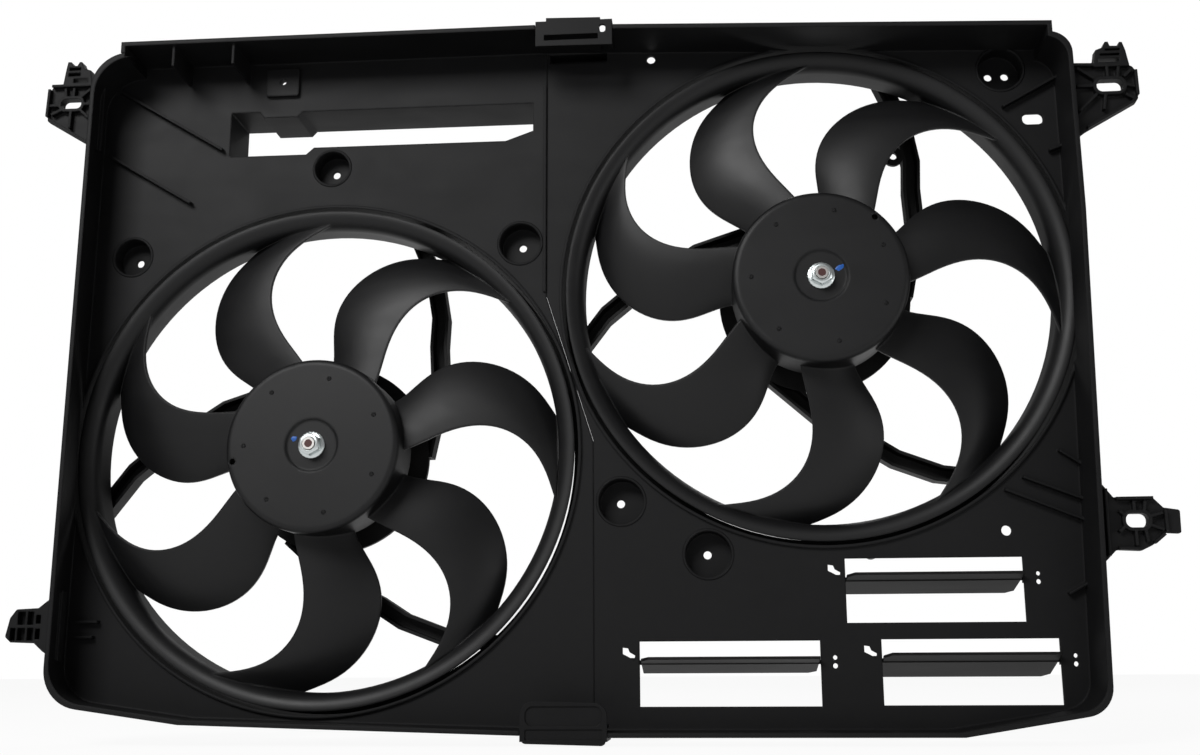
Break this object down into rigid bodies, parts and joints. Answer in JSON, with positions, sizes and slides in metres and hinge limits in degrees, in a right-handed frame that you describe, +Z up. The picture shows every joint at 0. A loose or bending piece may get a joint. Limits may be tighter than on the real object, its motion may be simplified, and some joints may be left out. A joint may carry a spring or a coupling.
{
  "type": "radiator cooling fan module",
  "caption": "Black moulded radiator fan shroud with side brackets, banded fans on motors held by struts, and ram air flaps.",
  "frame": {"origin": "in the plane of the rim that meets the radiator, at the middle of its width and 240 mm below its top", "axes": "+X to the right and +Z up as seen from the radiator, +Y away from the radiator along the fan axes"},
  "size_m": [0.7574, 0.1005, 0.484],
  "materials": {
    "shroud_plastic": "moulded, satin",
    "carrier_plastic": "moulded, satin",
    "clip_plastic": "moulded, satin",
    "flap_plastic": "moulded, satin",
    "fan_plastic": "moulded, soft sheen",
    "socket_plastic": "moulded",
    "motor_steel": "zinc plated",
    "nut_steel": "zinc plated",
    "shaft_steel": "ground, end dulled",
    "screw_steel": "zinc plated",
    "magnet_ferrite": "ground",
    "core_steel": "varnished laminations",
    "winding_copper": "enamelled wire",
    "commutator_copper": "turned",
    "brush_carbon": "pressed carbon",
    "card_plastic": "phenolic board",
    "bush_bronze": "sintered",
    "terminal_tin": "tin plated"
  },
  "bodies": {
    "shroud": {"shroud_left_panel": "shroud_plastic", "shroud_right_panel": "shroud_plastic", "seam_clip_top": "clip_plastic", "seam_clip_bottom": "clip_plastic", "motor_carrier_left": "carrier_plastic", "carrier_screws_left": "screw_steel", "motor_can_left": "motor_steel", "motor_end_cover_left": "motor_steel", "motor_magnets_left": "magnet_ferrite", "bush_front_left": "bush_bronze", "bush_rear_left": "bush_bronze", "brush_card_left": "card_plastic", "brushes_left": "brush_carbon", "motor_screws_left": "screw_steel", "terminal_socket_left": "socket_plastic", "terminal_pins_left": "terminal_tin", "motor_carrier_right": "carrier_plastic", "carrier_screws_right": "screw_steel", "motor_can_right": "motor_steel", "motor_end_cover_right": "motor_steel", "motor_magnets_right": "magnet_ferrite", "bush_front_right": "bush_bronze", "bush_rear_right": "bush_bronze", "brush_card_right": "card_plastic", "brushes_right": "brush_carbon", "motor_screws_right": "screw_steel", "terminal_socket_right": "socket_plastic", "terminal_pins_right": "terminal_tin"},
    "fan_left": {"fan_rotor_left": "fan_plastic", "fan_nut_left": "nut_steel", "motor_shaft_left": "shaft_steel", "armature_core_left": "core_steel", "armature_winding_left": "winding_copper", "commutator_left": "commutator_copper"},
    "fan_right": {"fan_rotor_right": "fan_plastic", "fan_nut_right": "nut_steel", "motor_shaft_right": "shaft_steel", "armature_core_right": "core_steel", "armature_winding_right": "winding_copper", "commutator_right": "commutator_copper"},
    "flap_upper": {"flap_upper": "flap_plastic"},
    "flap_lower_left": {"flap_lower_left": "flap_plastic"},
    "flap_lower_right": {"flap_lower_right": "flap_plastic"}
  },
  "joints": [
    {"name": "fan_left_spin", "type": "hinge", "parent": "shroud", "child": "fan_left", "pos_m": [-0.17, 0, -0.0485], "axis": [0, 1, 0], "continuous": true},
    {"name": "fan_right_spin", "type": "hinge", "parent": "shroud", "child": "fan_right", "pos_m": [0.166, 0, 0.058], "axis": [0, 1, 0], "continuous": true},
    {"name": "flap_upper_pivot", "type": "hinge", "parent": "shroud", "child": "flap_upper", "pos_m": [0.23265, 0.043, -0.1373], "axis": [-1, 0, 0], "range_deg": [-14, 76]},
    {"name": "flap_lower_left_pivot", "type": "hinge", "parent": "shroud", "child": "flap_lower_left", "pos_m": [0.1008, 0.043, -0.1893], "axis": [-1, 0, 0], "range_deg": [-12, 78]},
    {"name": "flap_lower_right_pivot", "type": "hinge", "parent": "shroud", "child": "flap_lower_right", "pos_m": [0.2529, 0.043, -0.1888], "axis": [-1, 0, 0], "range_deg": [-19, 71]}
  ]
}
